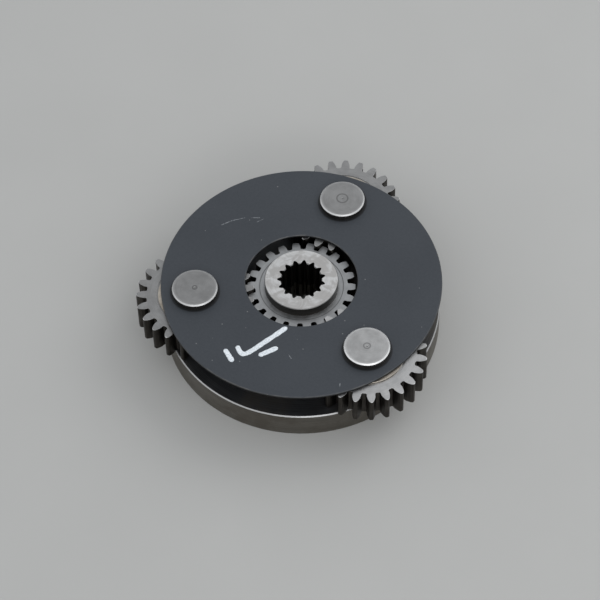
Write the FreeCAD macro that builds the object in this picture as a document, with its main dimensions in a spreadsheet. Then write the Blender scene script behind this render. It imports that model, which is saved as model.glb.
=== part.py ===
import FreeCAD, Part
import math
import os
import Sketcher

# Planetary gear set: a three-planet carrier with its sun gear, in millimetres.
# The origin is on the main axis at the underside of the lower carrier, +Z is up through
# the top plate, and planet pin 1 stands on the +Y axis.

DIMENSIONS = [
    # gear teeth
    ("gear_module", 3.5),
    ("pressure_angle", 20.0),
    ("sun_teeth", 22),
    ("planet_teeth", 23),
    ("planet_count", 3),
    ("sun_tooth_angle", 4.8),
    ("tooth_thinning", 0.08),
    ("tooth_root_depth", 4.375),
    ("sun_tip_radius", 41.0),
    ("planet_tip_radius", 43.75),
    ("root_fillet", 1.3),
    ("sun_tip_round", 1.9),
    ("planet_tip_round", 1.1),
    ("gear_edge_break", 0.4),
    # splines
    ("sun_spline_module", 2.1167),
    ("sun_spline_teeth", 15),
    ("sun_spline_minor_radius", 14.8),
    ("sun_spline_major_radius", 17.75),
    ("sun_spline_angle", 9.9),
    ("carrier_spline_module", 2.1167),
    ("carrier_spline_teeth", 20),
    ("carrier_spline_minor_radius", 20.1),
    ("carrier_spline_major_radius", 22.9),
    # lower carrier
    ("disc_radius", 102.75),
    ("disc_thickness", 22.5),
    ("disc_chamfer", 0.8),
    ("chamber_height", 24.9),
    # top plate
    ("plate_radius", 103.75),
    ("plate_thickness", 2.3),
    ("plate_hole_radius", 41.5),
    ("plate_pin_hole_radius", 12.1),
    ("plate_edge_break", 0.6),
    # planet pins
    ("pin_radius", 12.0),
    ("pin_recess", 1.0),
    ("pin_head_radius", 16.75),
    ("pin_head_height", 5.05),
    ("pin_head_chamfer", 0.9),
    ("pin_end_chamfer", 1.5),
    ("pin_centre_mark_radius", 0.9),
    # planet gears and their rollers
    ("gear_width", 23.3),
    ("planet_bore_radius", 16.0),
    ("bore_chamfer", 0.7),
    ("roller_radius", 1.96),
    ("roller_count", 21),
    ("roller_length", 22.0),
    ("roller_end_chamfer", 0.3),
    # thrust washers
    ("washer_thickness", 1.2),
    ("washer_seat_radius", 28.9),
    ("washer_seat_depth", 0.5),
    ("washer_bore_radius", 12.2),
    ("washer_radius", 27.4),
    ("washer_edge_break", 0.15),
    # sun gear
    ("running_gap", 0.1),
    ("sun_width", 19.0),
    ("sun_hub_radius", 27.25),
    ("sun_hub_height", 8.0),
    ("sun_edge_break", 0.5),
    ("tooth_bevel_start_radius", 34.6),
    ("tooth_bevel_drop", 1.1),
    ("face_relief_radius", 31.0),
    ("face_relief_depth", 0.2),
    # washer under the sun gear
    ("sun_washer_bore_radius", 24.0),
    ("sun_washer_radius", 31.0),
    ("sun_washer_thickness", 1.5),
    ("sun_washer_seat_depth", 0.5),
    ("sun_washer_seat_radius", 31.1),
    # spring pins that lock the planet pins
    ("spring_pin_radius", 2.5),
    ("spring_pin_bore_radius", 1.5),
    ("spring_pin_slot_width", 0.9),
    ("spring_pin_length", 22.0),
    ("spring_pin_hole_depth", 30.0),
    ("spring_pin_height", 11.0),
]

# Heights and distances shared by several sub-parts, as sheet expressions.
CENTRE_DISTANCE = "dims.gear_module * (dims.sun_teeth + dims.planet_teeth) / 2"
DISC_TOP = "dims.disc_thickness"
PLATE_UNDERSIDE = "dims.disc_thickness + dims.chamber_height"
PLATE_TOP = "dims.disc_thickness + dims.chamber_height + dims.plate_thickness"
GEAR_FLOOR = "dims.disc_thickness + (dims.chamber_height - dims.gear_width) / 2"
SUN_WASHER_FLOOR = "dims.disc_thickness - dims.sun_washer_seat_depth"
SUN_FLOOR = SUN_WASHER_FLOOR + " + dims.sun_washer_thickness + dims.running_gap"
HOLE_FLOOR = "dims.disc_radius - dims.spring_pin_hole_depth"

FLANK_POINTS = 9
ROUND_REACH = 0.85
ROUND_BEND = 0.58
MATCH_TOLERANCE = 1e-4
OUTSIDE_MARGIN = 2.0
INSIDE_MARGIN = 0.4

doc = FreeCAD.newDocument("planetary_gear_set")
sheet = doc.addObject("Spreadsheet::Sheet", "dims")
for row, (alias, number) in enumerate(DIMENSIONS, start=1):
    sheet.set("A%d" % row, alias)
    sheet.set("B%d" % row, str(number))
    sheet.setAlias("B%d" % row, alias)
doc.recompute()


def size(alias):
    """The number held by the sheet under one alias."""
    return float(getattr(sheet, alias))


def sheet_value(expression):
    """The number an expression over the sheet gives."""
    return float(sheet.evalExpression(expression))


def polar(radius, angle):
    """A point in the XY plane; angle in radians."""
    return FreeCAD.Vector(radius * math.cos(angle), radius * math.sin(angle), 0)


def new_body(label):
    """An empty body whose label names its node."""
    body = doc.addObject("PartDesign::Body", label)
    body.Label = label
    return body


def flat_sketch(body, name, height):
    """A sketch parallel to the body's XY plane, at a height expression."""
    sketch = body.newObject("Sketcher::SketchObject", name)
    planes = {feature.Role: feature for feature in body.Origin.OriginFeatures}
    sketch.AttachmentSupport = (planes["XY_Plane"], "")
    sketch.MapMode = "FlatFace"
    sketch.setExpression("AttachmentOffset.Base.z", height)
    return sketch


def add_circle(sketch, radius, across="0", along="0"):
    """A circle whose radius and centre follow expressions."""
    centre = FreeCAD.Vector(sheet_value(across), sheet_value(along), 0)
    circle = Part.Circle(centre, FreeCAD.Vector(0, 0, 1), sheet_value(radius))
    index = sketch.addGeometry(circle, False)
    rules = [
        ("Radius", (index, circle.Radius), radius),
        ("DistanceX", (-1, 1, index, 3, centre.x), across),
        ("DistanceY", (-1, 1, index, 3, centre.y), along),
    ]
    for kind, arguments, expression in rules:
        rule = sketch.addConstraint(Sketcher.Constraint(kind, *arguments))
        sketch.setExpression("Constraints[%d]" % rule, expression)


def ring_sketch(body, name, height, outer, inner=None):
    """One circle, or two concentric circles, about the body's axis."""
    sketch = flat_sketch(body, name, height)
    add_circle(sketch, outer)
    if inner:
        add_circle(sketch, inner)
    return sketch


def pad(body, name, sketch, length):
    """Extrude a sketch upwards."""
    feature = body.newObject("PartDesign::Pad", name)
    feature.Profile = sketch
    feature.setExpression("Length", length)
    body.Tip = feature
    return feature


def pocket(body, name, sketch, depth):
    """Cut a sketch downwards, and stop if nothing was removed."""
    doc.recompute()
    before = body.Shape.Volume
    feature = body.newObject("PartDesign::Pocket", name)
    feature.Profile = sketch
    feature.setExpression("Length", depth)
    body.Tip = feature
    doc.recompute()
    if body.Shape.Volume > before - MATCH_TOLERANCE:
        raise RuntimeError("%s cut nothing from %s" % (name, body.Label))
    return feature


def repeat_around(body, name, features, count):
    """Repeat features evenly about the body's Z axis."""
    pattern = body.newObject("PartDesign::PolarPattern", name)
    pattern.Originals = features
    axes = {feature.Role: feature for feature in body.Origin.OriginFeatures}
    pattern.Axis = (axes["Z_Axis"], [""])
    pattern.Angle = 360
    pattern.setExpression("Occurrences", count)
    body.Tip = pattern
    return pattern


def circle_names(shape, rings):
    """Names of the circular edges about the Z axis at the given (height, radius) pairs."""
    names = []
    for number, edge in enumerate(shape.Edges, start=1):
        if not isinstance(edge.Curve, Part.Circle):
            continue
        centre = edge.Curve.Center
        for height, radius in rings:
            on_axis = math.hypot(centre.x, centre.y) < MATCH_TOLERANCE
            same_height = abs(centre.z - sheet_value(height)) < MATCH_TOLERANCE
            same_radius = abs(edge.Curve.Radius - sheet_value(radius)) < MATCH_TOLERANCE
            if on_axis and same_height and same_radius:
                names.append("Edge%d" % number)
    return names


def chamfer(body, name, width, rings, drop=None):
    """Chamfer circular edges; drop gives the depth where it differs from the width."""
    doc.recompute()
    base = body.Tip
    names = circle_names(base.Shape, rings)
    if len(names) < len(rings):
        raise RuntimeError("%s found no edge on %s" % (name, body.Label))
    feature = body.newObject("PartDesign::Chamfer", name)
    feature.Base = (base, names)
    feature.setExpression("Size", width)
    if drop:
        feature.ChamferType = "Two distances"
        feature.setExpression("Size2", drop)
    body.Tip = feature
    return feature


def cut_cylinder(body, name, radius, length, rotation, start):
    """Cut a cylinder that begins at a start point and runs along a rotated Z axis."""
    feature = body.newObject("PartDesign::SubtractiveCylinder", name)
    feature.setExpression("Radius", radius)
    feature.setExpression("Height", length)
    feature.Placement = FreeCAD.Placement(FreeCAD.Vector(0, 0, 0), rotation)
    for axis, expression in zip("xyz", start):
        feature.setExpression("Placement.Base.%s" % axis, expression)
    body.Tip = feature
    return feature


def involute(angle):
    """The involute function, angles in radians."""
    return math.tan(angle) - angle


def flank_curve(points):
    """A smooth curve through the points of one tooth flank."""
    curve = Part.BSplineCurve()
    curve.interpolate(points)
    return curve


def add_loop(sketch, pieces):
    """Add an unconstrained closed outline to a sketch."""
    for piece in pieces:
        sketch.addGeometry(piece, False)


def external_gap(teeth, tip_radius, tip_round, direction):
    """Outline of one gap between two gear teeth with rounded tips, opening past the tip circle."""
    pitch = size("gear_module") * teeth / 2
    root = pitch - size("tooth_root_depth")
    fillet = size("root_fillet")
    pressure = math.radians(size("pressure_angle"))
    base = pitch * math.cos(pressure)
    tooth_at_base = math.pi / (2 * teeth) + involute(pressure)
    tooth_at_base -= size("tooth_thinning") / 2 / pitch

    def half_gap(radius):
        return math.pi / teeth - tooth_at_base + involute(math.acos(base / radius))

    def side(sign):
        root_turn = math.asin(fillet / (root + fillet))
        narrow = half_gap(base)
        fillet_centre = polar(root + fillet, direction + sign * (narrow - root_turn))
        foot = polar(root, direction + sign * (narrow - root_turn))
        shoulder = polar((root + fillet) * math.cos(root_turn), direction + sign * narrow)
        bulge = (foot + shoulder) * 0.5 - fillet_centre
        middle = fillet_centre + bulge * (fillet / bulge.Length)
        top = tip_radius - tip_round
        spread = [base + (top - base) * (step / FLANK_POINTS) ** 2 for step in range(FLANK_POINTS + 1)]
        flank = [polar(radius, direction + sign * half_gap(radius)) for radius in spread]
        corner = polar(tip_radius, direction + sign * half_gap(tip_radius))
        crest_turn = half_gap(tip_radius) + ROUND_REACH * tip_round / tip_radius
        crest = polar(tip_radius, direction + sign * crest_turn)
        bend = corner + ((flank[-1] + crest) * 0.5 - corner) * ROUND_BEND
        mouth = polar(tip_radius + OUTSIDE_MARGIN, direction + sign * crest_turn)
        return {
            "foot": foot, "middle": middle, "shoulder": shoulder,
            "flank": flank, "bend": bend, "crest": crest, "mouth": mouth,
        }

    left, right = side(1), side(-1)
    pieces = [Part.Arc(right["foot"], polar(root, direction), left["foot"])]
    for half in (left, right):
        pieces.append(Part.Arc(half["foot"], half["middle"], half["shoulder"]))
        pieces.append(Part.LineSegment(half["shoulder"], half["flank"][0]))
        pieces.append(flank_curve(half["flank"]))
        pieces.append(Part.Arc(half["flank"][-1], half["bend"], half["crest"]))
        pieces.append(Part.LineSegment(half["crest"], half["mouth"]))
    pieces.append(Part.LineSegment(left["mouth"], right["mouth"]))
    return pieces


def internal_groove(teeth, module, minor_radius, major_radius, direction):
    """Outline of one groove of a 30 degree involute spline bore."""
    pitch = module * teeth / 2
    pressure = math.radians(30)
    base = pitch * math.cos(pressure)
    start = minor_radius - INSIDE_MARGIN

    def half_groove(radius):
        at_radius = math.acos(base / radius)
        return math.pi / (2 * teeth) + involute(pressure) - involute(at_radius)

    sides = []
    for sign in (1, -1):
        radii = [start + (major_radius - start) * step / FLANK_POINTS for step in range(FLANK_POINTS + 1)]
        sides.append([polar(radius, direction + sign * half_groove(radius)) for radius in radii])
    left, right = sides
    return [
        Part.LineSegment(right[0], left[0]),
        flank_curve(left),
        Part.Arc(left[-1], polar(major_radius, direction), right[-1]),
        flank_curve(right),
    ]


def cut_spline_bore(body, name, floor, length, direction):
    """Cut a splined bore, named by its sheet aliases, upwards from the floor height."""
    minor = "dims.%s_spline_minor_radius" % name
    top = "%s + %s" % (floor, length)
    bore = ring_sketch(body, "spline_bore_sketch", top, minor)
    pocket(body, "spline_bore", bore, length)
    chamfer(body, "spline_mouths", "dims.bore_chamfer", [(floor, minor), (top, minor)])
    grooves = flat_sketch(body, "spline_groove_sketch", top)
    outline = internal_groove(
        int(size(name + "_spline_teeth")),
        size(name + "_spline_module"),
        size(name + "_spline_minor_radius"),
        size(name + "_spline_major_radius"),
        direction,
    )
    add_loop(grooves, outline)
    groove = pocket(body, "spline_groove", grooves, length)
    repeat_around(body, "spline_grooves", [groove], "dims.%s_spline_teeth" % name)


def cut_teeth(body, gear, floor, width, direction):
    """Cut the gaps between the teeth of one kind of gear through the whole blank."""
    teeth = int(size(gear + "_teeth"))
    top = "%s + %s" % (floor, width)
    outline = flat_sketch(body, "tooth_gap_sketch", top)
    tip_radius, tip_round = size(gear + "_tip_radius"), size(gear + "_tip_round")
    add_loop(outline, external_gap(teeth, tip_radius, tip_round, direction))
    gap = pocket(body, "tooth_gap", outline, width)
    repeat_around(body, "tooth_gaps", [gap], "dims.%s_teeth" % gear)


def make_lower_carrier():
    """Thick disc that holds the planet pins and carries the output spline."""
    body = new_body("lower_carrier")
    pad(body, "disc", ring_sketch(body, "disc_sketch", "0", "dims.disc_radius"), DISC_TOP)
    rims = [("0", "dims.disc_radius"), (DISC_TOP, "dims.disc_radius")]
    chamfer(body, "rim_chamfers", "dims.disc_chamfer", rims)
    seat = ring_sketch(body, "washer_seat_sketch", DISC_TOP, "dims.sun_washer_seat_radius")
    pocket(body, "washer_seat", seat, "dims.sun_washer_seat_depth")
    cut_spline_bore(body, "carrier", "0", SUN_WASHER_FLOOR, 0.0)
    holes = flat_sketch(body, "pin_hole_sketch", DISC_TOP)
    add_circle(holes, "dims.pin_radius", "0", CENTRE_DISTANCE)
    pin_hole = pocket(body, "pin_hole", holes, DISC_TOP)
    lock_hole = cut_cylinder(
        body, "lock_hole", "dims.spring_pin_radius", "dims.spring_pin_hole_depth",
        FreeCAD.Rotation(FreeCAD.Vector(1, 0, 0), -90),
        ("0", HOLE_FLOOR, "dims.spring_pin_height"),
    )
    repeat_around(body, "pin_holes", [pin_hole, lock_hole], "dims.planet_count")
    return body


def make_top_plate():
    """Thin plate trapped under the heads of the planet pins."""
    body = new_body("top_plate")
    blank = ring_sketch(body, "plate_sketch", PLATE_UNDERSIDE, "dims.plate_radius", "dims.plate_hole_radius")
    pad(body, "plate", blank, "dims.plate_thickness")
    edges = [
        (height, radius)
        for height in (PLATE_UNDERSIDE, PLATE_TOP)
        for radius in ("dims.plate_radius", "dims.plate_hole_radius")
    ]
    chamfer(body, "plate_edges", "dims.plate_edge_break", edges)
    holes = flat_sketch(body, "pin_hole_sketch", PLATE_TOP)
    add_circle(holes, "dims.plate_pin_hole_radius", "0", CENTRE_DISTANCE)
    pin_hole = pocket(body, "pin_hole", holes, "dims.plate_thickness")
    repeat_around(body, "pin_holes", [pin_hole], "dims.planet_count")
    return body


def make_planet_pin(number):
    """Headed pin, drilled across for its spring pin; its own axis is local Z."""
    body = new_body("planet_pin_%d" % number)
    shank = ring_sketch(body, "shank_sketch", "dims.pin_recess", "dims.pin_radius")
    pad(body, "shank", shank, PLATE_TOP + " - dims.pin_recess")
    head_top = PLATE_TOP + " + dims.pin_head_height"
    head = ring_sketch(body, "head_sketch", PLATE_TOP, "dims.pin_head_radius")
    pad(body, "head", head, "dims.pin_head_height")
    chamfer(body, "head_chamfer", "dims.pin_head_chamfer", [(head_top, "dims.pin_head_radius")])
    chamfer(body, "end_chamfer", "dims.pin_end_chamfer", [("dims.pin_recess", "dims.pin_radius")])
    mark = body.newObject("PartDesign::SubtractiveCone", "centre_mark")
    mark.Radius1 = 0
    mark.setExpression("Radius2", "dims.pin_centre_mark_radius")
    mark.setExpression("Height", "dims.pin_centre_mark_radius")
    mark.setExpression("Placement.Base.z", head_top + " - dims.pin_centre_mark_radius")
    body.Tip = mark
    hole_reach = CENTRE_DISTANCE + " - (" + HOLE_FLOOR + ")"
    cut_cylinder(
        body, "lock_hole", "dims.spring_pin_radius", hole_reach + " + dims.pin_radius",
        FreeCAD.Rotation(FreeCAD.Vector(1, 0, 0), -90),
        ("0", "-(" + hole_reach + ")", "dims.spring_pin_height"),
    )
    return body


def cut_washer_seats(body, gear_top):
    """Sink a shallow seat for a thrust washer into both end faces of a planet gear."""
    seat_top = GEAR_FLOOR + " + dims.washer_seat_depth"
    for name, height in (("upper", gear_top), ("lower", seat_top)):
        seat = ring_sketch(body, name + "_seat_sketch", height, "dims.washer_seat_radius")
        pocket(body, name + "_seat", seat, "dims.washer_seat_depth")
    bore = "dims.planet_bore_radius"
    mouths = [(seat_top, bore), (gear_top + " - dims.washer_seat_depth", bore)]
    chamfer(body, "bore_chamfers", "dims.bore_chamfer", mouths)


def make_planet_gear(number, tooth_direction):
    """Spur gear with a plain bore that the needle rollers run in."""
    body = new_body("planet_gear_%d" % number)
    gear_top = GEAR_FLOOR + " + dims.gear_width"
    tip = "dims.planet_tip_radius"
    bore = "dims.planet_bore_radius"
    blank = ring_sketch(body, "blank_sketch", GEAR_FLOOR, tip, bore)
    pad(body, "blank", blank, "dims.gear_width")
    chamfer(body, "tip_edges", "dims.gear_edge_break", [(GEAR_FLOOR, tip), (gear_top, tip)])
    gap_direction = tooth_direction + math.pi / size("planet_teeth")
    cut_washer_seats(body, gear_top)
    cut_teeth(body, "planet", GEAR_FLOOR, "dims.gear_width", gap_direction)
    return body


def make_needle_rollers(number):
    """Full set of loose needle rollers between one planet pin and its gear."""
    body = new_body("needle_rollers_%d" % number)
    body.AllowCompound = True
    floor = GEAR_FLOOR + " + (dims.gear_width - dims.roller_length) / 2"
    orbit = "(dims.pin_radius + dims.planet_bore_radius) / 2"
    outline = flat_sketch(body, "roller_sketch", floor)
    add_circle(outline, "dims.roller_radius", orbit, "0")
    roller = pad(body, "roller", outline, "dims.roller_length")
    repeat_around(body, "rollers", [roller], "dims.roller_count")
    return body


def make_washer(label, floor, thickness, radius, bore_radius):
    """Flat thrust washer with lightly broken edges."""
    body = new_body(label)
    pad(body, "washer", ring_sketch(body, "washer_sketch", floor, radius, bore_radius), thickness)
    top = "%s + %s" % (floor, thickness)
    edges = [(height, edge) for height in (floor, top) for edge in (radius, bore_radius)]
    chamfer(body, "washer_edges", "dims.washer_edge_break", edges)
    return body


def make_spring_pin(number):
    """Slotted spring pin; its own axis is local Z, turned later to point at the main axis."""
    body = new_body("spring_pin_%d" % number)
    tube = ring_sketch(body, "tube_sketch", "0", "dims.spring_pin_radius", "dims.spring_pin_bore_radius")
    pad(body, "tube", tube, "dims.spring_pin_length")
    slot = body.newObject("PartDesign::SubtractiveBox", "slot")
    slot.setExpression("Length", "dims.spring_pin_slot_width")
    slot.setExpression("Width", "dims.spring_pin_radius * 2")
    slot.setExpression("Height", "dims.spring_pin_length")
    slot.setExpression("Placement.Base.x", "-dims.spring_pin_slot_width / 2")
    body.Tip = slot
    return body


def make_sun_gear(tooth_direction):
    """Loose central gear with a raised hub and a splined bore."""
    body = new_body("sun_gear")
    face = SUN_FLOOR + " + dims.sun_width"
    hub_top = face + " + dims.sun_hub_height"
    tip = "dims.sun_tip_radius"
    pad(body, "blank", ring_sketch(body, "blank_sketch", SUN_FLOOR, tip), "dims.sun_width")
    bevel_width = tip + " - dims.tooth_bevel_start_radius"
    bevels = [(SUN_FLOOR, tip), (face, tip)]
    chamfer(body, "tooth_end_bevels", bevel_width, bevels, "dims.tooth_bevel_drop")
    relief = ring_sketch(body, "face_relief_sketch", face, "dims.face_relief_radius")
    pocket(body, "face_relief", relief, "dims.face_relief_depth")
    hub_floor = face + " - dims.face_relief_depth"
    hub = ring_sketch(body, "hub_sketch", hub_floor, "dims.sun_hub_radius")
    pad(body, "hub", hub, "dims.sun_hub_height + dims.face_relief_depth")
    chamfer(body, "hub_edge", "dims.sun_edge_break", [(hub_top, "dims.sun_hub_radius")])
    length = "dims.sun_width + dims.sun_hub_height"
    cut_spline_bore(body, "sun", SUN_FLOOR, length, math.radians(size("sun_spline_angle")))
    gap_direction = tooth_direction + math.pi / size("sun_teeth")
    cut_teeth(body, "sun", SUN_FLOOR, "dims.sun_width", gap_direction)
    return body


def planet_tooth_direction(planet_angle, sun_tooth_angle):
    """Direction of a planet tooth that puts the planet in mesh with the sun gear, in radians."""
    sun_pitch = 2 * math.pi / size("sun_teeth")
    planet_pitch = 2 * math.pi / size("planet_teeth")
    past_tooth = (planet_angle - sun_tooth_angle) / sun_pitch
    return planet_angle + math.pi + (past_tooth + 0.5) * planet_pitch


def stand_at(body, angle, height=0.0):
    """Place a body modelled on its own axis at a planet station, facing outwards."""
    distance = sheet_value(CENTRE_DISTANCE)
    body.Placement = FreeCAD.Placement(
        polar(distance, math.radians(angle)) + FreeCAD.Vector(0, 0, height),
        FreeCAD.Rotation(FreeCAD.Vector(0, 0, 1), angle - 90),
    )


def build_station(number, angle, sun_tooth_angle):
    """Everything that sits on one planet pin."""
    spin = planet_tooth_direction(math.radians(angle), sun_tooth_angle)
    turned = math.radians(angle - 90)
    gear = make_planet_gear(number, spin - turned)
    upper_floor = PLATE_UNDERSIDE + " - dims.washer_thickness"
    washer_sizes = ("dims.washer_thickness", "dims.washer_radius", "dims.washer_bore_radius")
    lower = make_washer("lower_thrust_washer_%d" % number, DISC_TOP, *washer_sizes)
    upper = make_washer("upper_thrust_washer_%d" % number, upper_floor, *washer_sizes)
    pieces = [make_planet_pin(number), gear, make_needle_rollers(number), lower, upper]
    for piece in pieces:
        stand_at(piece, angle)
    return pieces + [place_spring_pin(number, angle)]


def place_spring_pin(number, angle):
    """Lay a spring pin along its radial hole, from inside the planet pin outwards."""
    pin = make_spring_pin(number)
    direction = math.radians(angle)
    clearance = (size("spring_pin_hole_depth") - size("spring_pin_length")) / 4
    start = polar(sheet_value(HOLE_FLOOR) + clearance, direction)
    start.z = size("spring_pin_height")
    outwards = FreeCAD.Rotation(FreeCAD.Vector(0, 0, 1), polar(1, direction))
    pin.Placement = FreeCAD.Placement(start, outwards)
    return pin


def check_and_export(bodies):
    """Stop on any broken feature, then write one STEP file per sub-part."""
    doc.recompute()
    for item in doc.Objects:
        if "Invalid" in item.State or "Error" in item.State:
            raise RuntimeError("%s is in state %s" % (item.Label, item.State))
    os.makedirs("parts", exist_ok=True)
    for body in bodies:
        if body.Shape.isNull() or not body.Shape.isValid():
            raise RuntimeError("%s has no valid shape" % body.Label)
        body.Shape.exportStep("parts/%s.step" % body.Label)


sun_tooth = math.radians(size("sun_tooth_angle"))
bodies = [
    make_lower_carrier(),
    make_top_plate(),
    make_sun_gear(sun_tooth),
    make_washer(
        "sun_thrust_washer", SUN_WASHER_FLOOR, "dims.sun_washer_thickness",
        "dims.sun_washer_radius", "dims.sun_washer_bore_radius",
    ),
]
for index in range(int(size("planet_count"))):
    bodies += build_station(index + 1, 90 + index * 360 / size("planet_count"), sun_tooth)
check_and_export(bodies)
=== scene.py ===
import math
import random

import bmesh
import bpy
from mathutils import Matrix, Vector


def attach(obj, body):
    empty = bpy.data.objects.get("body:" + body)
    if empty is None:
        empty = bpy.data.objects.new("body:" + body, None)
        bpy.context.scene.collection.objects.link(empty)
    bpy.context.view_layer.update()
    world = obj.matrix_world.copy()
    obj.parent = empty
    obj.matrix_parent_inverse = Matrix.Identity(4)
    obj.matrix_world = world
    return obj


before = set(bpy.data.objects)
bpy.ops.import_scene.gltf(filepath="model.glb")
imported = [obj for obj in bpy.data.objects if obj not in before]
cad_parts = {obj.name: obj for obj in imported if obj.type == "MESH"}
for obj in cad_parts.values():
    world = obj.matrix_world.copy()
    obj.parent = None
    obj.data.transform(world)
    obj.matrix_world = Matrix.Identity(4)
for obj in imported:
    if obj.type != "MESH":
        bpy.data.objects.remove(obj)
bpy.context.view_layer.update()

# The row frame is in metres; textures are laid out in millimetres.
MM = 0.001
CENTRE_DISTANCE = 78.75
PIN_ANGLES = (90.0, 210.0, 330.0)
PLATE_TOP = 49.7
HEAD_RADIUS = 16.75
PIN_RADIUS = 12.0
SUN_FACE = 42.6
SPLINE_REACH = 17.75
FACE_STEP = 31.0

# Base reflectance of each pin and each planet gear, the level of the painted highlight on the planet gears'
# tooth chamfers, the sun gear's chamfer tone, and the radius of the turned ring on each pin head in
# millimetres.
PIN_LEVELS = (0.28, 0.27, 0.41)
PLANET_LEVELS = (0.29, 0.28, 0.45)
PIN_RING_MARKS = (4.1, 1.6, 2.4)
SUN_LEVEL = 0.36
PLANET_CHAMFER_HIGHLIGHT = 0.72
SUN_EDGE_LEVEL = 0.20

# Chamfer width along sharp gear edges in millimetres, and what counts as a sharp or a flat edge.
PLANET_EDGE = 0.55
SUN_EDGE = 0.5
WELD_DISTANCE = 0.001
FLAT_ANGLE = math.radians(0.5)
SHARP_ANGLE = math.radians(30)

# White paint-pen strokes on the plate, each a row of (x, y) points in millimetres. A stroke's section is
# given as shares of its half width.
PAINT_WIDTH = 4.0
PAINT_HEIGHT = 0.15
PAINT_SECTION = (-1.0, -0.8, 0.0, 0.8, 1.0)
PATH_STEPS = 12
PAINT_STROKES = (
    ((-20.0, -72.0), (-12.0, -76.5), (-2.0, -60.0), (7.0, -43.0)),
    ((-27.0, -78.0), (-17.0, -86.0)),
    ((-2.0, -74.0), (8.0, -62.0)),
)

# Faint scratches on the plate: start, end and half width in millimetres.
PLATE_SCRATCHES = (
    ((-75.0, 25.0), (-69.6, 31.4), 0.5),
    ((-69.6, 31.4), (-61.7, 37.7), 0.4),
    ((-56.9, 39.7), (-51.3, 42.0), 0.4),
    ((-51.5, 37.5), (-48.1, 42.3), 0.3),
    ((62.7, -76.0), (62.0, -73.5), 0.5),
    ((18.0, -64.5), (21.0, -67.0), 0.4),
)

# Colours as linear red, green, blue and alpha. A pair is the two tones that one surface wanders between.
PLATE_COAT = ((0.033, 0.039, 0.048, 1), (0.044, 0.051, 0.061, 1))
PLATE_SPECK = (0.30, 0.30, 0.30, 1)
PLATE_SCRATCH = (0.36, 0.38, 0.40, 1)
# Near black, painted as shade on the plate's outer side face.
PLATE_WALL_SHADE = (0.012, 0.012, 0.012, 1)
PLATE_WORN = (0.13, 0.13, 0.13, 1)
# Painted contact shade around the pin heads.
PIN_CONTACT_SHADE = (0.006, 0.007, 0.008, 1)
# Dark tones painted on the tooth flanks as shade.
TOOTH_FLANK_SHADE = ((0.028, 0.025, 0.021, 1), (0.062, 0.056, 0.049, 1))
FLANK_OIL = (0.095, 0.088, 0.078, 1)
# Painted shade on the sun gear's hub side.
HUB_SIDE_SHADE = (0.045, 0.042, 0.038, 1)
# Painted shade in the sun gear's spline bore.
SPLINE_BORE_SHADE = (0.035, 0.032, 0.029, 1)
DISC_SIDE = ((0.15, 0.140, 0.122, 1), (0.235, 0.219, 0.195, 1))
# Darker, bluish tones painted on the disc's top face as shade under the plate.
DISC_TOP_SHADE = ((0.085, 0.088, 0.094, 1), (0.13, 0.134, 0.142, 1))
DISC_STAIN = (0.12, 0.105, 0.085, 1)
DISC_SPOT = (0.10, 0.085, 0.065, 1)
BRONZE = ((0.48, 0.44, 0.385, 1), (0.36, 0.32, 0.27, 1))
PAINT_INK = ((0.60, 0.65, 0.70, 1), (0.84, 0.88, 0.92, 1))
FLOOR_TONE = ((0.43, 0.43, 0.42, 1), (0.46, 0.46, 0.45, 1))

# Camera: a long lens looking down at the set from the +24.4 degree azimuth.
VIEW_AZIMUTH = math.radians(24.4)
VIEW_ELEVATION = math.radians(54.04)
VIEW_ROLL = math.radians(-1.605)
VIEW_DISTANCE = 1785.4
VIEW_LENS = 146.27
VIEW_TARGET = (-1.43, -18.08, PLATE_TOP)
SENSOR_WIDTH = 36.0
VIEW_RANGE = 50.0


# Brightness of the sky against the sine of the height above the horizon.
SKY_STOPS = ((0.0, 0.45), (0.25, 1.25), (0.5, 1.25), (0.8, 0.85))
SKY_STRENGTH = 0.8

# Soft panels: name, place relative to the camera's heading (across, away, up) in metres, width and
# height in metres, and power in watts.
LIGHT_PANELS = (
    ("right_panel", (1.3, 0.8, 1.4), 1.4, 1.2, 8),
    ("front_panel", (0.3, -1.6, 1.1), 1.8, 0.4, 5),
)
FLOOR_HALF_WIDTH = 6.0


def pin_centre(number):
    """Axis of one planet pin in the XY plane, in millimetres."""
    angle = math.radians(PIN_ANGLES[number - 1])
    return CENTRE_DISTANCE * math.cos(angle), CENTRE_DISTANCE * math.sin(angle)


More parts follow.
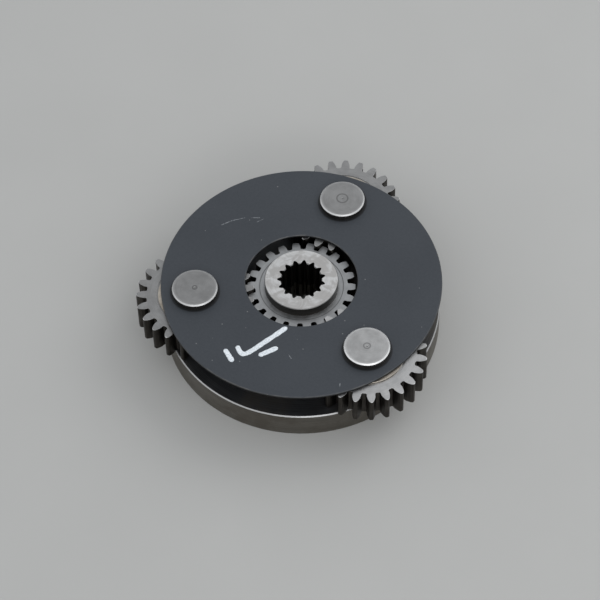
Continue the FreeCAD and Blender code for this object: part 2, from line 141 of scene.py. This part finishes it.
class Shader:
    """Builds one material's node tree; every helper returns an output socket."""

    def __init__(self, name):
        self.material = bpy.data.materials.new(name)
        self.material.use_nodes = True
        self.tree = self.material.node_tree
        self.surface = self.tree.nodes["Principled BSDF"]
        place = self.node("ShaderNodeTexCoord").outputs["Object"]
        self.mm = self.vector("SCALE", place, scale=1 / MM)
        self.geometry = self.node("ShaderNodeNewGeometry")
        ripple = self.node("ShaderNodeTexNoise").outputs["Color"]
        self.feed(ripple.node.inputs["Vector"], self.mm)
        self.feed(ripple.node.inputs["Scale"], 0.4)
        self.wavy = self.vector("ADD", self.mm, self.vector("SCALE", ripple, scale=0.8))

    def node(self, kind, **settings):
        made = self.tree.nodes.new(kind)
        for key, value in settings.items():
            setattr(made, key, value)
        return made

    def feed(self, socket, value):
        if isinstance(value, bpy.types.NodeSocket):
            self.tree.links.new(value, socket)
        else:
            socket.default_value = value

    def math(self, operation, first, second=0.0, third=0.0, clamp=False):
        made = self.node("ShaderNodeMath", operation=operation, use_clamp=clamp)
        for socket, value in zip(made.inputs, (first, second, third)):
            self.feed(socket, value)
        return made.outputs[0]

    def vector(self, operation, first, second=(0, 0, 0), scale=1.0):
        made = self.node("ShaderNodeVectorMath", operation=operation)
        self.feed(made.inputs[0], first)
        self.feed(made.inputs[1], second)
        self.feed(made.inputs[3], scale)
        return made.outputs["Value" if operation in ("LENGTH", "DOT_PRODUCT") else "Vector"]

    def parts(self, vector):
        made = self.node("ShaderNodeSeparateXYZ")
        self.feed(made.inputs[0], vector)
        return made.outputs

    def join(self, x, y, z):
        made = self.node("ShaderNodeCombineXYZ")
        for socket, value in zip(made.inputs, (x, y, z)):
            self.feed(socket, value)
        return made.outputs[0]

    def noise(self, vector, scale, detail=3.0, roughness=0.5, distortion=0.0):
        made = self.node("ShaderNodeTexNoise")
        self.feed(made.inputs["Vector"], vector)
        self.feed(made.inputs["Scale"], scale)
        self.feed(made.inputs["Detail"], detail)
        self.feed(made.inputs["Roughness"], roughness)
        self.feed(made.inputs["Distortion"], distortion)
        return made.outputs["Fac"]

    def cells(self, vector, scale, feature="F1"):
        made = self.node("ShaderNodeTexVoronoi", feature=feature)
        self.feed(made.inputs["Vector"], vector)
        self.feed(made.inputs["Scale"], scale)
        return made.outputs["Distance"]

    def fade(self, value, low, high, at_low=0.0, at_high=1.0):
        """Smooth step from at_low to at_high as value goes from low to high."""
        made = self.node("ShaderNodeMapRange", interpolation_type="SMOOTHSTEP")
        for socket, number in zip(made.inputs, (value, low, high, at_low, at_high)):
            self.feed(socket, number)
        return made.outputs[0]

    def mix(self, factor, first, second, blend="MIX"):
        made = self.node("ShaderNodeMix", data_type="RGBA", blend_type=blend)
        self.feed(made.inputs[0], factor)
        self.feed(made.inputs[6], first)
        self.feed(made.inputs[7], second)
        return made.outputs[2]

    def polar(self, centre):
        """(radius, x direction, y direction, height) about a vertical axis, in millimetres."""
        local = self.vector("SUBTRACT", self.mm, (centre[0], centre[1], 0))
        x, y, z = self.parts(local)
        radius = self.vector("LENGTH", self.join(x, y, 0))
        safe = self.math("MAXIMUM", radius, 0.01)
        return radius, self.math("DIVIDE", x, safe), self.math("DIVIDE", y, safe), z

    def rings(self, centre, pitch, wander=2.0):
        """Fine turning lines: noise that varies quickly with radius and slowly around."""
        radius, x, y, z = self.polar(centre)
        lines = self.join(self.math("MULTIPLY", radius, 1 / pitch), self.math("MULTIPLY", x, wander),
                          self.math("MULTIPLY", y, wander))
        return self.noise(lines, 1.0, detail=2.0)

    def facing_up(self):
        """1 on level faces, 0 on vertical ones."""
        return self.math("ABSOLUTE", self.parts(self.geometry.outputs["Normal"])[2])

    def slopes(self):
        """1 on chamfers, 0 on level and on vertical faces."""
        level = self.facing_up()
        return self.math("MULTIPLY", self.fade(level, 0.2, 0.4), self.fade(level, 0.97, 0.9))

    def line(self, start, end, half_width):
        """1 along a slightly wavy line between two points of the XY plane, fading to 0 at its half width."""
        across = (end[0] - start[0], end[1] - start[1], 0)
        length = math.hypot(across[0], across[1])
        direction = (across[0] / length, across[1] / length, 0)
        offset = self.vector("SUBTRACT", self.wavy, (start[0], start[1], 0))
        flat = self.vector("MULTIPLY", offset, (1, 1, 0))
        along = self.vector("DOT_PRODUCT", flat, direction)
        along = self.math("MINIMUM", self.math("MAXIMUM", along, 0.0), length)
        nearest = self.vector("SCALE", direction, scale=along)
        distance = self.vector("LENGTH", self.vector("SUBTRACT", flat, nearest))
        return self.fade(distance, half_width, 0.0)

    def bump(self, height, strength, distance=0.1, normal=None):
        made = self.node("ShaderNodeBump")
        self.feed(made.inputs["Height"], height)
        self.feed(made.inputs["Strength"], strength)
        self.feed(made.inputs["Distance"], distance * MM)
        if normal:
            self.feed(made.inputs["Normal"], normal)
        return made.outputs[0]

    def finish(self, colour, roughness, metallic, normal=None):
        self.feed(self.surface.inputs["Base Color"], colour)
        self.feed(self.surface.inputs["Roughness"], roughness)
        self.feed(self.surface.inputs["Metallic"], metallic)
        if normal:
            self.feed(self.surface.inputs["Normal"], normal)
        return self.material


def grey(level, warmth=0.0):
    """A near-grey linear colour; positive warmth leans to brown, negative to blue."""
    return (level * (1 + warmth), level, level * (1 - warmth), 1.0)


def dark_plate_material():
    """Dark slate phosphate coat: faint mottling, scratches, painted contact shade around the pins,
    near-black painted shade on the outer side face, worn edges.
    """
    s = Shader("dark_plate")
    broad = s.noise(s.mm, 0.018, detail=3.0)
    mottle = s.noise(s.mm, 0.5, detail=5.0, roughness=0.65)
    grain = s.noise(s.mm, 3.5, detail=2.0)
    tone = s.math("ADD", s.math("MULTIPLY", broad, 0.5), s.math("MULTIPLY", mottle, 0.5))
    colour = s.mix(s.fade(tone, 0.3, 0.7), *PLATE_COAT)
    specks = s.fade(s.cells(s.mm, 0.09), 0.055, 0.03)
    colour = s.mix(s.math("MULTIPLY", specks, 0.5), colour, PLATE_SPECK)
    scratch = 0.0
    for start, end, half_width in PLATE_SCRATCHES:
        scratch = s.math("MAXIMUM", scratch, s.line(start, end, half_width))
    scratch = s.math("MULTIPLY", scratch, s.fade(mottle, 0.40, 0.55, 0.25, 1.0))
    colour = s.mix(s.math("MULTIPLY", scratch, 0.7), colour, PLATE_SCRATCH)
    # Painted contact shade: the plate is darkened in a ring just outside each pin head.
    for number in (1, 2, 3):
        contact_shade = s.fade(s.polar(pin_centre(number))[0], HEAD_RADIUS + 2.2, HEAD_RADIUS + 1.2)
        colour = s.mix(s.math("MULTIPLY", contact_shade, 0.9), colour, PIN_CONTACT_SHADE)
    # Painted shade: the plate's outer side face is coloured near black.
    wall_shade = s.fade(s.facing_up(), 0.35, 0.2)
    colour = s.mix(wall_shade, colour, PLATE_WALL_SHADE)
    worn = s.math("MULTIPLY", s.slopes(), s.fade(s.noise(s.mm, 0.12, detail=4.0), 0.4, 0.65, 0.1, 0.7))
    colour = s.mix(worn, colour, PLATE_WORN)
    metallic = s.fade(worn, 0.0, 1.0, 0.25, 0.8)
    roughness = s.fade(s.math("ADD", broad, s.math("MULTIPLY", grain, 0.3)), 0.35, 0.95, 0.46, 0.6)
    return s.finish(colour, roughness, metallic, s.bump(grain, 0.25, 0.05))


def pin_material(number, ring_mark):
    """Satin turned steel: fine rings about the pin's own axis and smudges; painted highlights on the outer
    band of the head top and on its bevels, and a painted dark reflection on the head's side.
    """
    s = Shader("planet_pin_steel_%d" % number)
    centre = pin_centre(number)
    radius = s.polar(centre)[0]
    rings = s.rings(centre, 0.3)
    smudge = s.noise(s.mm, 0.12, detail=4.0, roughness=0.6)
    speckle = s.noise(s.mm, 2.2, detail=3.0)
    tone = s.math("ADD", s.math("MULTIPLY", rings, 0.35), s.math("MULTIPLY", smudge, 0.65))
    level = PIN_LEVELS[number - 1]
    colour = s.mix(s.fade(tone, 0.3, 0.7), grey(level * 0.84), grey(level * 1.1))
    band = s.math("ABSOLUTE", s.math("SUBTRACT", radius, ring_mark))
    ring = s.fade(band, 0.75, 0.3)
    colour = s.mix(s.math("MULTIPLY", ring, 0.6), colour, grey(level * 0.35))
    # Painted highlight: the outer band of the head top is lightened.
    rim_highlight = s.fade(radius, HEAD_RADIUS - 2.6, HEAD_RADIUS - 0.9)
    colour = s.mix(s.math("MULTIPLY", rim_highlight, 0.35), colour, grey(level * 1.7))
    # Painted dark reflection on the head's side face.
    side = s.fade(s.facing_up(), 0.3, 0.1)
    colour = s.mix(side, colour, grey(level * 0.35, 0.05))
    # Painted highlight on the head's bevels.
    chamfer_highlight = s.math("MULTIPLY", s.slopes(), s.fade(radius, PIN_RADIUS - 2.0, PIN_RADIUS))
    colour = s.mix(chamfer_highlight, colour, grey(min(level * 2.2, 0.85)))
    roughness = s.fade(s.math("ADD", smudge, s.math("MULTIPLY", speckle, 0.4)), 0.4, 1.0, 0.36, 0.52)
    return s.finish(colour, roughness, 1.0, s.bump(s.math("SUBTRACT", rings, ring), 0.35, 0.04))


def gear_colours(s, centre, level, chamfer_light_level, warmth=0.0):
    """Gear steel as (colour, roughness, height): machined end faces, painted shade on the tooth flanks, and
    a set tone on the tooth chamfers that is a painted highlight on the planet gears.
    """
    rings = s.rings(centre, 0.35)
    smudge = s.noise(s.mm, 0.16, detail=4.0, roughness=0.6)
    tone = s.math("ADD", s.math("MULTIPLY", rings, 0.4), s.math("MULTIPLY", smudge, 0.6))
    face = s.mix(s.fade(tone, 0.3, 0.7), grey(level * 0.86, warmth), grey(level * 1.12, warmth))
    cutter = s.noise(s.vector("MULTIPLY", s.mm, (2.2, 2.2, 0.05)), 1.0, detail=3.0)
    oil = s.noise(s.mm, 0.1, detail=3.0)
    # Painted shade: the tooth flanks get dark tones, with cutter streaks and lighter patches over them.
    flank_shade = s.mix(s.fade(cutter, 0.3, 0.7), *TOOTH_FLANK_SHADE)
    flank_shade = s.mix(s.math("MULTIPLY", s.fade(oil, 0.45, 0.7), 0.4), flank_shade, FLANK_OIL)
    level_face = s.fade(s.facing_up(), 0.75, 0.95)
    colour = s.mix(level_face, flank_shade, face)
    # Tooth chamfers: on the planet gears this is a painted highlight; on the sun gear a tone darker than its
    # face.
    edge = s.math("MULTIPLY", s.slopes(), s.fade(smudge, 0.3, 0.6, 0.6, 1.0))
    colour = s.mix(edge, colour, grey(chamfer_light_level))
    roughness = s.fade(smudge, 0.3, 0.7, 0.38, 0.5)
    height = s.math("ADD", s.math("MULTIPLY", rings, level_face), cutter)
    return colour, roughness, height


def planet_material(number):
    """Planet gear steel, ringed about its own pin."""
    s = Shader("planet_gear_steel_%d" % number)
    level = PLANET_LEVELS[number - 1]
    colour, roughness, height = gear_colours(s, pin_centre(number), level, PLANET_CHAMFER_HIGHLIGHT)
    return s.finish(colour, roughness, 1.0, s.bump(height, 0.3, 0.04))


def sun_material():
    """Sun gear steel: cool annulus with a painted shade line at the face step, smeared hub top, and painted
    shade in the spline bore and on the hub side.
    """
    s = Shader("sun_gear_steel")
    colour, roughness, height = gear_colours(s, (0, 0), SUN_LEVEL, SUN_EDGE_LEVEL, -0.02)
    radius, x, y, z = s.polar((0, 0))
    on_hub = s.fade(z, SUN_FACE + 1.0, SUN_FACE + 2.0)
    smear = s.noise(s.mm, 0.11, detail=3.0, roughness=0.55, distortion=0.8)
    hub = s.mix(s.fade(smear, 0.42, 0.62), grey(0.45, 0.02), grey(0.62))
    hub = s.mix(s.math("MULTIPLY", s.fade(s.rings((0, 0), 0.4), 0.4, 0.7), 0.25), hub, grey(0.30, 0.02))
    # Painted shade on the hub's side face.
    hub_shade = s.math("MULTIPLY", on_hub, s.fade(s.facing_up(), 0.5, 0.2))
    top = s.math("MULTIPLY", on_hub, s.fade(s.facing_up(), 0.8, 0.97))
    # Painted shade: a dark line along the step in the face at FACE_STEP.
    step_shade = s.math("ABSOLUTE", s.math("SUBTRACT", radius, FACE_STEP))
    step_shade = s.math("MULTIPLY", s.fade(step_shade, 0.6, 0.15), s.fade(s.facing_up(), 0.5, 0.8))
    colour = s.mix(s.math("MULTIPLY", step_shade, 0.6), colour, grey(0.10))
    colour = s.mix(top, colour, hub)
    colour = s.mix(hub_shade, colour, HUB_SIDE_SHADE)
    # Painted shade in the spline bore.
    bore_shade = s.fade(radius, SPLINE_REACH + 0.6, SPLINE_REACH - 0.2)
    bore_shade = s.math("MULTIPLY", bore_shade, s.fade(s.facing_up(), 0.5, 0.2))
    colour = s.mix(bore_shade, colour, SPLINE_BORE_SHADE)
    return s.finish(colour, roughness, 1.0, s.bump(height, 0.3, 0.04))


def carrier_material():
    """Turned steel disc: brown, stained side with level turning lines, a top face darkened as painted shade
    under the plate, and painted highlights on the chamfers.
    """
    s = Shader("carrier_steel")
    radius, x, y, z = s.polar((0, 0))
    level_lines = s.join(s.math("MULTIPLY", x, 1.5), s.math("MULTIPLY", y, 1.5), s.math("MULTIPLY", z, 2.5))
    lines = s.noise(level_lines, 1.0, detail=3.0)
    rings = s.rings((0, 0), 0.5)
    stain = s.noise(s.mm, 0.035, detail=5.0, roughness=0.6)
    spots = s.fade(s.noise(s.mm, 0.35, detail=4.0, roughness=0.7), 0.58, 0.72)
    side = s.mix(s.fade(lines, 0.3, 0.7), *DISC_SIDE)
    # Painted shade: the top face, under the plate, gets darker, bluish tones.
    top = s.mix(s.fade(rings, 0.3, 0.7), *DISC_TOP_SHADE)
    level_face = s.fade(s.facing_up(), 0.3, 0.7)
    colour = s.mix(level_face, side, top)
    colour = s.mix(s.math("MULTIPLY", s.fade(stain, 0.45, 0.65), 0.5), colour, DISC_STAIN)
    colour = s.mix(s.math("MULTIPLY", spots, 0.3), colour, DISC_SPOT)
    # Painted highlight on the disc's chamfers.
    colour = s.mix(s.slopes(), colour, grey(0.42))
    roughness = s.fade(s.math("ADD", stain, s.math("MULTIPLY", lines, 0.3)), 0.4, 0.9, 0.34, 0.52)
    metallic = s.fade(level_face, 0.0, 1.0, 1.0, 0.9)
    return s.finish(colour, roughness, metallic, s.bump(s.math("ADD", lines, rings), 0.25, 0.05))


def bronze_material():
    """Pale machined bronze with darker patches."""
    s = Shader("washer_bronze")
    patch = s.noise(s.mm, 0.2, detail=4.0)
    colour = s.mix(s.fade(patch, 0.35, 0.7), *BRONZE)
    return s.finish(colour, s.fade(patch, 0.3, 0.7, 0.32, 0.46), 1.0, s.bump(s.noise(s.mm, 3.0), 0.2, 0.03))


def plain_steel_material(name, level, roughness):
    """Ground or rolled steel for small hidden pieces, with lengthwise streaks."""
    s = Shader(name)
    streaks = s.noise(s.vector("MULTIPLY", s.mm, (3.0, 3.0, 0.2)), 1.0, detail=2.0)
    colour = s.mix(s.fade(streaks, 0.3, 0.7), grey(level * 0.8), grey(level * 1.15))
    uneven = s.fade(streaks, 0.3, 0.7, roughness, roughness + 0.12)
    return s.finish(colour, uneven, 1.0, s.bump(streaks, 0.2, 0.02))


def paint_pen_material():
    """White paint-pen ink, streaky and thin in places."""
    s = Shader("paint_pen_white")
    streak = s.noise(s.mm, 0.9, detail=3.0, roughness=0.6)
    colour = s.mix(s.fade(streak, 0.35, 0.65), *PAINT_INK)
    return s.finish(colour, s.fade(streak, 0.3, 0.7, 0.45, 0.65), 0.0, s.bump(streak, 0.3, 0.05))


def floor_material():
    """Plain pale matt floor."""
    s = Shader("floor_pale")
    tone = s.noise(s.mm, 0.01, detail=3.0)
    colour = s.mix(tone, *FLOOR_TONE)
    return s.finish(colour, 0.85, 0.0, s.bump(s.noise(s.mm, 1.2, detail=4.0), 0.15, 0.1))


def paint(node, material):
    """Give a CAD node its finished material."""
    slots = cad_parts[node].data.materials
    slots.clear()
    slots.append(material)


def chamfer_edges(node, width):
    """Chamfer a node's sharp edges with modifiers; the CAD mesh itself stays as it is."""
    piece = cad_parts[node]
    weld = piece.modifiers.new("weld", "WELD")
    weld.merge_threshold = WELD_DISTANCE * MM
    flatten = piece.modifiers.new("flatten", "DECIMATE")
    flatten.decimate_type = "DISSOLVE"
    flatten.angle_limit = FLAT_ANGLE
    edge = piece.modifiers.new("edge", "BEVEL")
    edge.limit_method = "ANGLE"
    edge.angle_limit = SHARP_ANGLE
    edge.width = width * MM
    edge.segments = 1
    smooth = piece.modifiers.new("smooth", "WEIGHTED_NORMAL")
    smooth.keep_sharp = False


def paint_all():
    """Every CAD node gets its own finish."""
    paint("lower_carrier", carrier_material())
    paint("top_plate", dark_plate_material())
    paint("sun_gear", sun_material())
    bronze = bronze_material()
    ground = plain_steel_material("roller_ground", 0.6, 0.2)
    rolled = plain_steel_material("spring_pin_rolled", 0.15, 0.35)
    paint("sun_thrust_washer", bronze)
    for number, ring_mark in zip((1, 2, 3), PIN_RING_MARKS):
        paint("planet_pin_%d" % number, pin_material(number, ring_mark))
        paint("planet_gear_%d" % number, planet_material(number))
        paint("lower_thrust_washer_%d" % number, bronze)
        paint("upper_thrust_washer_%d" % number, bronze)
        paint("needle_rollers_%d" % number, ground)
        paint("spring_pin_%d" % number, rolled)
        chamfer_edges("planet_gear_%d" % number, PLANET_EDGE)
    chamfer_edges("sun_gear", SUN_EDGE)


def smooth_path(points, steps):
    """Points of a smooth curve through a few given ones."""
    padded = [points[0]] + list(points) + [points[-1]]
    path = []
    for before, start, end, after in zip(padded, padded[1:], padded[2:], padded[3:]):
        for step in range(steps):
            t = step / steps
            weights = (-t + 2 * t**2 - t**3, 2 - 5 * t**2 + 3 * t**3, t + 4 * t**2 - 3 * t**3, t**3 - t**2)
            corners = (before, start, end, after)
            path.append(Vector([sum(w * c[axis] for w, c in zip(weights, corners)) / 2 for axis in (0, 1)]))
    path.append(Vector(points[-1]))
    return path


def add_stroke(shape, points, width, draw):
    """Add one low, crowned paint stroke with rounded ends to a mesh."""
    path = smooth_path(points, PATH_STEPS)
    total = sum((end - start).length for start, end in zip(path, path[1:]))
    travelled = 0.0
    sections = []
    for index, point in enumerate(path):
        following = path[min(index + 1, len(path) - 1)]
        previous = path[max(index - 1, 0)]
        if index:
            travelled += (point - previous).length
        heading = (following - previous).normalized()
        sideways = Vector((-heading.y, heading.x))
        from_end = min(travelled, total - travelled) / (width / 2)
        rounding = math.sqrt(max(1 - max(1 - from_end, 0.0) ** 2, 0.02))
        half = width / 2 * rounding * draw.uniform(0.9, 1.08)
        crown = PAINT_HEIGHT * rounding * draw.uniform(0.8, 1.0)
        section = []
        for share in PAINT_SECTION:
            spot = point + sideways * half * share
            rise = 0.0 if abs(share) == 1.0 else crown * (1.0 - 0.4 * abs(share))
            section.append(shape.verts.new((spot.x * MM, spot.y * MM, (PLATE_TOP + rise) * MM)))
        sections.append(section)
    for first, second in zip(sections, sections[1:]):
        for left in range(len(PAINT_SECTION) - 1):
            shape.faces.new((first[left], first[left + 1], second[left + 1], second[left]))
        shape.faces.new((first[-1], first[0], second[0], second[-1]))
    shape.faces.new(sections[0])
    shape.faces.new(list(reversed(sections[-1])))


def build_paint_mark():
    """Generic white inspection tick and two short bars, drawn on the plate with a paint pen."""
    draw = random.Random(7)
    shape = bmesh.new()
    for points in PAINT_STROKES:
        add_stroke(shape, points, PAINT_WIDTH, draw)
    bmesh.ops.recalc_face_normals(shape, faces=shape.faces)
    mesh = bpy.data.meshes.new("paint_mark")
    shape.to_mesh(mesh)
    shape.free()
    for face in mesh.polygons:
        face.use_smooth = True
    mark = bpy.data.objects.new("paint_mark", mesh)
    bpy.context.scene.collection.objects.link(mark)
    mesh.materials.append(paint_pen_material())
    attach(mark, "carrier")


def build_floor():
    """A wide level floor under the set."""
    mesh = bpy.data.meshes.new("floor")
    shape = bmesh.new()
    bmesh.ops.create_grid(shape, x_segments=1, y_segments=1, size=FLOOR_HALF_WIDTH)
    shape.to_mesh(mesh)
    shape.free()
    floor = bpy.data.objects.new("floor", mesh)
    bpy.context.scene.collection.objects.link(floor)
    mesh.materials.append(floor_material())


def area_light(name, place, target, width, height, power):
    """A soft rectangular light aimed at a point."""
    data = bpy.data.lights.new(name, "AREA")
    data.shape = "RECTANGLE"
    data.size = width
    data.size_y = height
    data.energy = power
    light = bpy.data.objects.new(name, data)
    light.location = place
    light.rotation_euler = (Vector(target) - Vector(place)).to_track_quat("-Z", "Y").to_euler()
    bpy.context.scene.collection.objects.link(light)


def in_view(across, away, up):
    """A point given relative to the camera's heading, turned into the row frame, in metres."""
    return Matrix.Rotation(VIEW_AZIMUTH, 3, "Z") @ Vector((across, away, up))


def build_light():
    """An overcast sky, brightest low down, with a soft panel behind on the right and one in front."""
    world = bpy.data.worlds.new("sky")
    bpy.context.scene.world = world
    world.use_nodes = True
    nodes = world.node_tree.nodes
    links = world.node_tree.links
    place = nodes.new("ShaderNodeTexCoord")
    split = nodes.new("ShaderNodeSeparateXYZ")
    ramp = nodes.new("ShaderNodeValToRGB")
    while len(ramp.color_ramp.elements) < len(SKY_STOPS):
        ramp.color_ramp.elements.new(0.5)
    for element, (height, level) in zip(ramp.color_ramp.elements, SKY_STOPS):
        element.position = height
        element.color = (level * 0.98, level, level * 1.02, 1)
    links.new(place.outputs["Generated"], split.inputs[0])
    links.new(split.outputs[2], ramp.inputs[0])
    links.new(ramp.outputs[0], nodes["Background"].inputs["Color"])
    nodes["Background"].inputs["Strength"].default_value = SKY_STRENGTH
    for name, place, width, height, power in LIGHT_PANELS:
        area_light(name, in_view(*place), (0, 0, 0), width, height, power)


def build_camera():
    """The photograph's viewing angle."""
    data = bpy.data.cameras.new("camera")
    data.lens = VIEW_LENS
    data.sensor_width = SENSOR_WIDTH
    data.clip_end = VIEW_RANGE
    camera = bpy.data.objects.new("camera", data)
    turn = Matrix.Rotation(VIEW_AZIMUTH, 3, "Z")
    back = Vector((0, -math.cos(VIEW_ELEVATION), math.sin(VIEW_ELEVATION)))
    right = Vector((1, 0, 0))
    up = Vector((0, math.sin(VIEW_ELEVATION), math.cos(VIEW_ELEVATION)))
    rolled_right = math.cos(VIEW_ROLL) * right + math.sin(VIEW_ROLL) * up
    rolled_up = -math.sin(VIEW_ROLL) * right + math.cos(VIEW_ROLL) * up
    target = Vector(VIEW_TARGET) * MM
    place = turn @ (target + back * VIEW_DISTANCE * MM)
    axes = [turn @ axis for axis in (rolled_right, rolled_up, back)]
    rotation = Matrix(axes).transposed().to_4x4()
    camera.matrix_world = Matrix.Translation(place) @ rotation
    bpy.context.scene.collection.objects.link(camera)
    bpy.context.scene.camera = camera


paint_all()
build_paint_mark()
build_floor()
build_light()
build_camera()
bpy.context.scene.view_settings.view_transform = "Standard"
